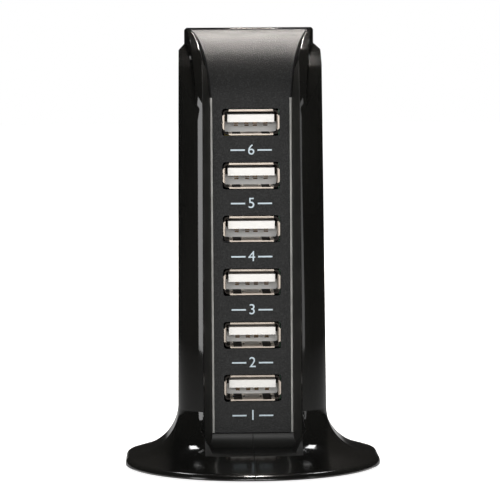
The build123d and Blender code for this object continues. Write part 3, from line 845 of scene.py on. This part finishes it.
@dataclass
class BaseScrews:
    """The screws of the base plate, with domed heads and cross recesses."""

    wardrobe: Wardrobe
    node: str = "base_screws"
    head_radius: float = 2.5 * MM
    head_height: float = 1.2 * MM
    head_round: float = 0.45 * MM
    round_steps: int = 4
    sides: int = 48
    smooth_angle: float = math.radians(35)
    shank_radius: float = 1.25 * MM
    shank_length: float = 7.9 * MM
    cross: tuple[float, float, float] = (2.7 * MM, 0.6 * MM, 1.2 * MM)
    pieces: list[bpy.types.Object] = field(default_factory=list)

    def places(self) -> list[Vector]:
        """The middle of each packed screw's head, on its outer face."""
        packed = frame["nodes"][self.node]
        points = [packed.matrix_world @ v.co for v in packed.data.vertices]
        low, high = (Vector(corner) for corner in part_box(self.node))
        centre = (low + high) / 2
        found = []
        for right in (False, True):
            for back in (False, True):
                own = [p for p in points if (p.x > centre.x) == right and (p.y > centre.y) == back]
                xs = [p.x for p in own]
                ys = [p.y for p in own]
                found.append(Vector(((min(xs) + max(xs)) / 2, (min(ys) + max(ys)) / 2, low.z)))
        return found

    def pick(self, piece: bpy.types.Object, upward: bool) -> None:
        """Selects a screw's top or bottom face and enters edit mode."""
        focus(piece)
        bpy.ops.object.mode_set(mode="EDIT")
        bpy.ops.mesh.select_mode(type="FACE")
        bpy.ops.mesh.select_all(action="DESELECT")
        bpy.ops.object.mode_set(mode="OBJECT")
        for side in piece.data.polygons:
            side.select = side.normal.z > 0.9 if upward else side.normal.z < -0.9
        bpy.ops.object.mode_set(mode="EDIT")

    def recess(self, piece: bpy.types.Object, at: Vector, turn: float) -> None:
        """Cuts one slot of the cross into a head.

        Args:
            piece: The screw.
            at: The middle of its head's outer face.
            turn: The slot's turn about the screw, in radians.
        """
        deselect()
        bpy.ops.mesh.primitive_cube_add(size=1.0, location=at)
        tool = bpy.context.object
        tool.scale = self.cross
        tool.rotation_euler = (0.0, 0.0, turn)
        settle(tool)
        focus(piece)
        cut = piece.modifiers.new("recess", "BOOLEAN")
        cut.operation = "DIFFERENCE"
        cut.solver = "EXACT"
        cut.object = tool
        bpy.ops.object.modifier_apply(modifier=cut.name)
        bpy.data.objects.remove(tool)

    def screw(self, at: Vector) -> bpy.types.Object:
        """Turns one screw.

        Args:
            at: The middle of its head's outer face.

        Returns:
            The screw.
        """
        deselect()
        bpy.ops.mesh.primitive_cylinder_add(
            vertices=self.sides,
            radius=self.head_radius,
            depth=self.head_height,
            location=at + Vector((0.0, 0.0, self.head_height / 2)),
        )
        made = bpy.context.object
        settle(made)
        self.pick(made, upward=False)
        bpy.ops.mesh.bevel(offset=self.head_round, segments=self.round_steps)
        self.pick(made, upward=True)
        bpy.ops.mesh.inset(thickness=self.head_radius - self.shank_radius)
        rise = {"value": (0.0, 0.0, self.shank_length)}
        bpy.ops.mesh.extrude_region_move(TRANSFORM_OT_translate=rise)
        bpy.ops.object.mode_set(mode="OBJECT")
        for turn in (math.pi / 4, -math.pi / 4):
            self.recess(made, at, turn)
        return made

    def build(self) -> None:
        """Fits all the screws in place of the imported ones."""
        pattern = self.screw(Vector((0.0, 0.0, 0.0)))
        screws = joined([copy_of(pattern, at) for at in self.places()], "cross_head_screws")
        bpy.ops.object.shade_smooth_by_angle(angle=self.smooth_angle)
        bpy.data.objects.remove(pattern)
        self.wardrobe.put_on(screws, FINISHES["screw_steel"])
        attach(screws, BODY)
        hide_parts(self.node)
        self.pieces.append(screws)


def aimed(at: Point, target: Point) -> Matrix:
    """The placing of a camera or lamp at one point that faces another."""
    look = Vector(target) - Vector(at)
    turn = look.to_track_quat("-Z", "Y").to_matrix().to_4x4()
    return Matrix.Translation(Vector(at)) @ turn


@dataclass(frozen=True)
class Lamp:
    """A soft lamp: its place, the point it faces, its width and height, its watts and colour."""

    name: str
    at: Point
    aim: Point
    size: tuple[float, float]
    power: float
    tint: Colour = (1.0, 1.0, 1.0)

    def hang(self) -> None:
        """Puts the lamp into the scene."""
        data = bpy.data.lights.new(self.name, "AREA")
        data.shape = "RECTANGLE"
        data.size, data.size_y = self.size
        data.energy = self.power
        data.color = self.tint
        lamp = bpy.data.objects.new(self.name, data)
        bpy.context.scene.collection.objects.link(lamp)
        lamp.matrix_world = aimed(self.at, self.aim)


LAMPS = (
    Lamp("back_card", (0.022, 0.52, 0.77), (0.022, 0.0, 0.1), (0.03, 0.6), 5.5, WARM),
    Lamp("crown_card", (0.022, 0.29, 0.9), (0.022, 0.0, 0.1), (0.03, 0.3), 10.5, WARM),
    Lamp("front_box", (0.0, -0.95, 0.16), (0.0, 0.0, 0.05), (0.5, 0.12), 3.05),
    Lamp("left_card", (-0.223, -0.2, 0.062), (0.0, 0.0, 0.062), (0.06, 0.12), 0.115),
    Lamp("right_card", (0.23, -0.193, 0.062), (0.0, 0.0, 0.062), (0.026, 0.12), 0.018),
    Lamp("top_left", (-0.3, 0.35, 0.7), (0.0, 0.0, 0.05), (0.1, 0.1), 0.5),
    Lamp("top_right", (0.3, 0.35, 0.7), (0.0, 0.0, 0.05), (0.1, 0.1), 0.5),
)


@dataclass
class Studio:
    """The floor, cards, lamps and camera round the object."""

    lens: float = 195.6
    sensor: float = 36.0
    eye: Point = (-14.6 * MM, -647.6 * MM, 99.2 * MM)
    target: Point = (-0.43 * MM, -2.6 * MM, 51.8 * MM)
    roll: float = -0.38
    near: float = 0.01
    floor_size: float = 6.0
    floor_grey: float = 0.5
    floor_roughness: float = 0.9
    floor_strength: float = 0.9
    floor_glow: float = 0.35
    card_grey: float = 0.01
    card_roughness: float = 0.95
    tent_radius: float = 1.3
    tent_height: float = 1.6
    tent_sides: int = 64
    ring_radius: float = 0.034
    ring_middle: Point = (0.0, -0.028, 0.0005)
    ring_sides: int = 96
    ring_overlap: float = 1.1
    ring_fade: Range = (0.06, 0.32)
    ring_glow: float = 0.42
    ambient: float = 0.35

    def camera(self) -> None:
        """Places the camera at the photograph's angle."""
        data = bpy.data.cameras.new("camera")
        data.lens = self.lens
        data.sensor_width = self.sensor
        data.sensor_fit = "HORIZONTAL"
        data.clip_start = self.near
        camera = bpy.data.objects.new("camera", data)
        bpy.context.scene.collection.objects.link(camera)
        roll = Matrix.Rotation(math.radians(self.roll), 4, "Z")
        camera.matrix_world = aimed(self.eye, self.target) @ roll
        bpy.context.scene.camera = camera

    def floor(self) -> None:
        """Lays a plain pale floor."""
        deselect()
        bpy.ops.mesh.primitive_plane_add(size=self.floor_size, location=(0.0, 0.0, 0.0))
        floor = bpy.context.object
        floor.name = "floor"
        paint = Paint("floor_white")
        paint.feed("Base Color", (*(self.floor_grey,) * 3, 1.0))
        paint.feed("Roughness", self.floor_roughness)
        paint.feed("Specular IOR Level", 0.0)
        path = paint.node("ShaderNodeLightPath")
        seen = Value(paint, path.outputs["Is Camera Ray"])
        for other in ("Is Glossy Ray", "Is Transmission Ray"):
            seen = seen.most(Value(paint, path.outputs[other]))
        dim = (self.floor_glow,) * 3
        paint.feed("Emission Color", paint.colour_between(dim, (1.0, 1.0, 1.0), seen))
        paint.feed("Emission Strength", self.floor_strength)
        floor.data.materials.append(paint.material)

    def tent(self) -> None:
        """Stands dark cards round the object, unseen by the camera, for its gloss to reflect."""
        deselect()
        bpy.ops.mesh.primitive_cylinder_add(
            radius=self.tent_radius,
            depth=self.tent_height,
            end_fill_type="NGON",
            vertices=self.tent_sides,
            location=(0.0, 0.0, self.tent_height / 2),
        )
        tent = bpy.context.object
        tent.name = "dark_cards"
        bpy.ops.object.mode_set(mode="EDIT")
        bpy.ops.mesh.select_all(action="DESELECT")
        bpy.ops.object.mode_set(mode="OBJECT")
        for side in tent.data.polygons:
            side.select = side.normal.z < -0.5
        bpy.ops.object.mode_set(mode="EDIT")
        bpy.ops.mesh.delete(type="ONLY_FACE")
        bpy.ops.object.mode_set(mode="OBJECT")
        self.hide_card(tent)

    def dark_floor(self) -> None:
        """Lays a ring over the floor that darkens outwards, for the gloss alone to reflect."""
        deselect()
        bpy.ops.mesh.primitive_circle_add(
            vertices=self.ring_sides,
            radius=self.ring_radius,
            fill_type="NOTHING",
            location=self.ring_middle,
        )
        ring = bpy.context.object
        ring.name = "dark_ring"
        grow = self.ring_overlap * self.tent_radius / self.ring_radius
        bpy.ops.object.mode_set(mode="EDIT")
        bpy.ops.mesh.select_all(action="SELECT")
        bpy.ops.mesh.extrude_edges_move()
        bpy.ops.transform.resize(value=(grow, grow, 1.0))
        bpy.ops.object.mode_set(mode="OBJECT")
        settle(ring)
        paint = self.hide_card(ring)
        x = paint.along(Axis.X)
        y = paint.along(Axis.Y)
        reach = x.math("SQRT", x * x + y * y)
        fade = paint.ramp(reach, *self.ring_fade)
        glow = (self.ring_glow,) * 3
        paint.feed("Emission Color", paint.colour_between(glow, (0.0, 0.0, 0.0), fade))
        paint.feed("Emission Strength", 1.0)

    def hide_card(self, card: bpy.types.Object) -> Paint:
        """Makes a card black and leaves it to reflections alone.

        Args:
            card: The card.

        Returns:
            Its material, to be painted further.
        """
        card.visible_camera = False
        card.visible_shadow = False
        card.visible_diffuse = False
        paint = Paint(f"{card.name}_black")
        paint.feed("Base Color", (*(self.card_grey,) * 3, 1.0))
        paint.feed("Roughness", self.card_roughness)
        paint.feed("Specular IOR Level", 0.0)
        card.data.materials.append(paint.material)
        return paint

    def world(self) -> None:
        """A white background with a plain ambient light."""
        world = bpy.data.worlds.new("studio")
        bpy.context.scene.world = world
        world.use_nodes = True
        tree = world.node_tree
        tree.nodes.clear()
        path = tree.nodes.new("ShaderNodeLightPath")
        seen = tree.nodes.new("ShaderNodeMath")
        seen.operation = "MAXIMUM"
        tree.links.new(path.outputs["Is Camera Ray"], seen.inputs[0])
        tree.links.new(path.outputs["Is Glossy Ray"], seen.inputs[1])
        clear = tree.nodes.new("ShaderNodeMath")
        clear.operation = "MAXIMUM"
        tree.links.new(seen.outputs[0], clear.inputs[0])
        tree.links.new(path.outputs["Is Transmission Ray"], clear.inputs[1])
        strength = tree.nodes.new("ShaderNodeMapRange")
        tree.links.new(clear.outputs[0], strength.inputs["Value"])
        strength.inputs["To Min"].default_value = self.ambient
        strength.inputs["To Max"].default_value = 1.0
        glow = tree.nodes.new("ShaderNodeBackground")
        glow.inputs["Color"].default_value = (1.0, 1.0, 1.0, 1.0)
        tree.links.new(strength.outputs[0], glow.inputs["Strength"])
        out = tree.nodes.new("ShaderNodeOutputWorld")
        tree.links.new(glow.outputs[0], out.inputs["Surface"])

    def build(self) -> None:
        """Sets up the whole studio."""
        bpy.context.scene.view_settings.view_transform = "Standard"
        self.world()
        self.floor()
        self.tent()
        self.dark_floor()
        for lamp in LAMPS:
            lamp.hang()
        self.camera()


def main() -> None:
    """Builds the looks and the studio, and reports each piece."""
    logging.basicConfig(level=logging.INFO, format="%(message)s")
    wardrobe = Wardrobe()
    wardrobe.dress_nodes()
    marks = PortMarks(wardrobe)
    springs = ContactSprings(wardrobe)
    screws = BaseScrews(wardrobe)
    for maker in (marks, springs, screws):
        maker.build()
        for piece in maker.pieces:
            LOG.info("made %s", piece.name)
    Studio().build()


if __name__ == "__main__":
    main()
